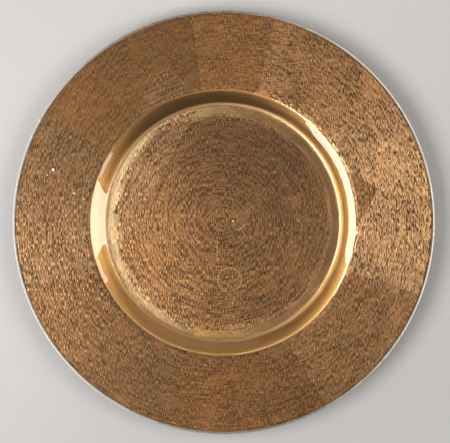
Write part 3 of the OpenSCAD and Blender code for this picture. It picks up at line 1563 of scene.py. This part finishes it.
    def build(self, effects: SharedEffects) -> None:
        """Cuts and dresses the leaves.

        Args:
            effects: Shared node groups.
        """
        stations = self.shape.back().moved(self.bedding).trace()
        work = self.skin(stations)
        shares: dict[str, list[BMFace]] = {}
        for face in work.faces:
            shares.setdefault(self.owner(face.calc_center_median()), []).append(face)
        for name, finish in self.finishes().items():
            mesh = self.sheet(shares[name], stations)
            mesh.materials.append(finish.material(effects))
            piece = new_object(f"{name}_foil", mesh)
            hand_over(piece, [name])
        work.free()

    def sheet(self, faces: Sequence[BMFace], stations: Sequence[Station]) -> Mesh:
        """Makes one leaf a thin closed sheet.

        Args:
            faces: Its share of the skin.
            stations: Section of the front of the leaf.

        Returns:
            The mesh.
        """
        outs = [s.out for s in stations]
        index: dict[BMVert, int] = {}
        front: list[Vector] = []
        normals: list[Vector] = []
        for face in faces:
            for vert in face.verts:
                if vert not in index:
                    index[vert] = len(front)
                    front.append(vert.co.copy())
                    normals.append(self._normal(vert.co, outs, stations))
        count = len(front)
        back = [spot - self.thickness * normal for spot, normal in zip(front, normals)]
        polygons = [[index[v] for v in face.verts] for face in faces]
        polygons += [[i + count for i in reversed(polygon)] for polygon in polygons]
        own = set(faces)
        for face in faces:
            for loop in face.loops:
                others = [f for f in loop.edge.link_faces if f in own]
                if len(others) == 1:
                    a, b = index[loop.vert], index[loop.link_loop_next.vert]
                    polygons.append([b, a, a + count, b + count])
        mesh = bpy.data.meshes.new("leaf")
        mesh.from_pydata(front + back, [], polygons)
        mesh.shade_smooth()
        custom = []
        for k, polygon in enumerate(polygons):
            for i in polygon:
                if k < len(faces):
                    custom.append(normals[i])
                elif k < 2 * len(faces):
                    custom.append(-normals[i - count])
                else:
                    custom.append(mesh.polygons[k].normal.copy())
        mesh.normals_split_custom_set(custom)
        return mesh

    def _normal(self, spot: Vector, outs: Sequence[float], stations: Sequence[Station]) -> Vector:
        """Gives the shading normal of the skin between its stations, with the crown of the well.

        Args:
            spot: A point of the skin.
            outs: Distances of the stations from the axis.
            stations: Section of the front of the leaf.

        Returns:
            Unit normal.
        """
        out = math.hypot(spot.x, spot.y)
        i = min(max(bisect.bisect_right(outs, out), 1), len(outs) - 1)
        share = (out - outs[i - 1]) / (outs[i] - outs[i - 1])
        a, b = stations[i - 1].left, stations[i].left
        foot = self.shape.foot_radius
        belly = self.crown * out / foot * min(1.0, max(0.0, (foot - out) / self.crown_fade))
        left = (a[0] + share * (b[0] - a[0]) + belly, a[1] + share * (b[1] - a[1]))
        return turned_left(left, spot).normalized()

    def finishes(self) -> dict[str, LeafFinish]:
        """Gives each leaf its finish.

        Returns:
            The finishes by the name of the leaf.
        """
        result = {}
        for k, leaf in enumerate(self.rim):
            following = self.rim[(k + 1) % len(self.rim)].outer
            middle = leaf.outer + ((following - leaf.outer) % FULL_TURN) / 2
            seed = self.rim_seed_step * k + self.rim_seed
            result[leaf.name] = LeafFinish(f"{leaf.name}_metal", middle, leaf.brushing, seed, leaf.marks)
        result["leaf_well_left"] = LeafFinish(
            "leaf_well_left_metal", 0.0, self.well_left_brushing, self.well_left_seed
        )
        result["leaf_well"] = LeafFinish(
            "leaf_well_metal", 0.0, self.well_brushing, self.well_seed, self.well_marks
        )
        return result


@dataclass
class SealCoat:
    """The coat over the backs of the leaves."""

    shape: PlateShape
    near: float = 0.10 * MM
    far: float = 0.40 * MM
    finish: SealFinish = field(default_factory=SealFinish)
    segments: int = 240

    def build(self, turning: Turning, effects: SharedEffects) -> None:
        """Turns and dresses the coat.

        Args:
            turning: The turning trees.
            effects: Shared node groups.
        """
        back = self.shape.back()
        stations = back.moved(-self.near).joined(back.moved(-self.far).reversed()).trace()
        finish = self.finish.material(effects)
        piece = turning.make(
            "seal_coat_skin", stations, turning.turned, Segments=self.segments, Finish=finish
        )
        polish(piece.data, stations)
        hand_over(piece, ["seal_coat"])


@dataclass
class Bumpers:
    """The four bumpers that the plate stands on."""

    radius: float = 6 * MM
    height: float = 2.2 * MM
    draft: float = 0.4 * MM
    rounding: float = 1.2 * MM
    circle_radius: float = 63 * MM
    start: float = math.radians(45)
    names: tuple[str, ...] = (
        "bumper_upper_right", "bumper_upper_left", "bumper_lower_left", "bumper_lower_right"
    )
    finish: BumperFinish = field(default_factory=BumperFinish)
    segments: int = 48
    arc_step: float = math.radians(8)
    sharp_angle: float = math.radians(40)

    def build(self, turning: Turning, effects: SharedEffects) -> None:
        """Turns one bumper, stands four on their circle and dresses them.

        Args:
            turning: The turning trees.
            effects: Shared node groups.
        """
        section = SectionLine((
            Corner(0.0, self.height),
            Corner(self.radius, self.height),
            Corner(self.radius - self.draft, 0.0, self.rounding),
            Corner(0.0, 0.0),
        ), self.arc_step)
        piece = turning.make(
            "bumpers",
            section.trace(),
            turning.circle,
            Segments=self.segments,
            Finish=self.finish.material(effects),
            Count=len(self.names),
            Circle_Radius=self.circle_radius,
            Start_Angle=self.start,
        )
        piece.data.set_sharp_from_angle(angle=self.sharp_angle)
        hand_over(piece, self.names)


@dataclass(frozen=True)
class SoftBox:
    """A soft rectangular studio light aimed at the plate, placed by its angles in degrees."""

    name: str
    azimuth: float
    elevation: float
    distance: float
    width: float
    height: float
    radiance: float
    colour: tuple[float, float, float] = (1.0, 1.0, 1.0)

    @property
    def place(self) -> Vector:
        """Gives the middle of the light.

        Returns:
            Point over the plate.
        """
        elevation = math.radians(self.elevation)
        level = heading(math.radians(self.azimuth), self.distance * math.cos(elevation))
        return Vector((level[0], level[1], self.distance * math.sin(elevation)))

    def build(self) -> None:
        """Stands the light in the scene."""
        data = bpy.data.lights.new(self.name, "AREA")
        data.shape = "RECTANGLE"
        data.size = self.width
        data.size_y = self.height
        data.energy = math.pi * self.width * self.height * self.radiance
        data.color = self.colour
        light = bpy.data.objects.new(self.name, data)
        light.location = self.place
        light.rotation_euler = (-self.place).to_track_quat("-Z", "Y").to_euler()
        bpy.context.scene.collection.objects.link(light)


@dataclass
class Studio:
    """The pale floor, the lights and the camera that looks straight down."""

    floor_side: float = 6.0
    sky: float = 0.2
    sky_colour: Colour = (1.0, 0.92, 0.82, 1.0)
    camera_distance: float = 0.9
    camera_lean: float = math.radians(4.5)
    focal_pixels: float = 1133.0
    shift_right: float = 2.6
    shift_up: float = 0.8
    boxes: tuple[SoftBox, ...] = (
        SoftBox("ceiling", 0, 90, 1.6, 2.2, 2.2, 0.38, (1.0, 0.8, 0.5)),
        SoftBox("left_strip", 194, 52.3, 1.2, 0.95, 0.70, 11.8),
        SoftBox("right_window", -1.7, 41.5, 1.1, 0.465, 0.53, 10.5),
        SoftBox("right_top", -2.5, 58, 1.2, 0.90, 0.20, 6.0),
        SoftBox("back_fill", 80, 28, 1.5, 1.6, 0.6, 0.5),
    )

    def build(self) -> None:
        """Sets up the floor, the lights, the sky and the camera."""
        self._floor()
        for box in self.boxes:
            box.build()
        self._sky()
        self._camera()
        bpy.context.scene.view_settings.view_transform = "Standard"

    def _floor(self) -> None:
        """Lays the floor under the bumpers."""
        half = self.floor_side / 2
        corners = [(-half, -half, 0.0), (half, -half, 0.0), (half, half, 0.0), (-half, half, 0.0)]
        mesh = bpy.data.meshes.new("floor")
        mesh.from_pydata(corners, [], [range(len(corners))])
        mesh.materials.append(FloorFinish().material())
        new_object("floor", mesh)

    def _sky(self) -> None:
        """Lights the room evenly from all round."""
        world = bpy.data.worlds.new("studio")
        world.use_nodes = True
        background = world.node_tree.nodes["Background"]
        background.inputs["Color"].default_value = self.sky_colour
        background.inputs["Strength"].default_value = self.sky
        bpy.context.scene.world = world

    def _camera(self) -> None:
        """Hangs the camera over the plate."""
        data = bpy.data.cameras.new("camera")
        data.lens = data.sensor_width * self.focal_pixels / IMAGE_WIDTH
        data.shift_x = self.shift_right / IMAGE_WIDTH
        data.shift_y = self.shift_up / IMAGE_WIDTH
        camera = bpy.data.objects.new("camera", data)
        camera.location = (
            self.camera_distance * math.sin(self.camera_lean),
            0.0,
            self.camera_distance * math.cos(self.camera_lean),
        )
        camera.rotation_euler = (0.0, self.camera_lean, 0.0)
        bpy.context.scene.collection.objects.link(camera)
        bpy.context.scene.camera = camera


def main() -> None:
    """Builds the plate piece by piece, then the studio."""
    logging.basicConfig(level=logging.INFO, format="%(name)s: %(message)s")
    shape = PlateShape()
    turning = Turning()
    effects = SharedEffects()
    GlassPlate(shape).build(turning, effects)
    Gilding(shape).build(effects)
    SealCoat(shape).build(turning, effects)
    Bumpers().build(turning, effects)
    Studio().build()


if __name__ == "__main__":
    main()
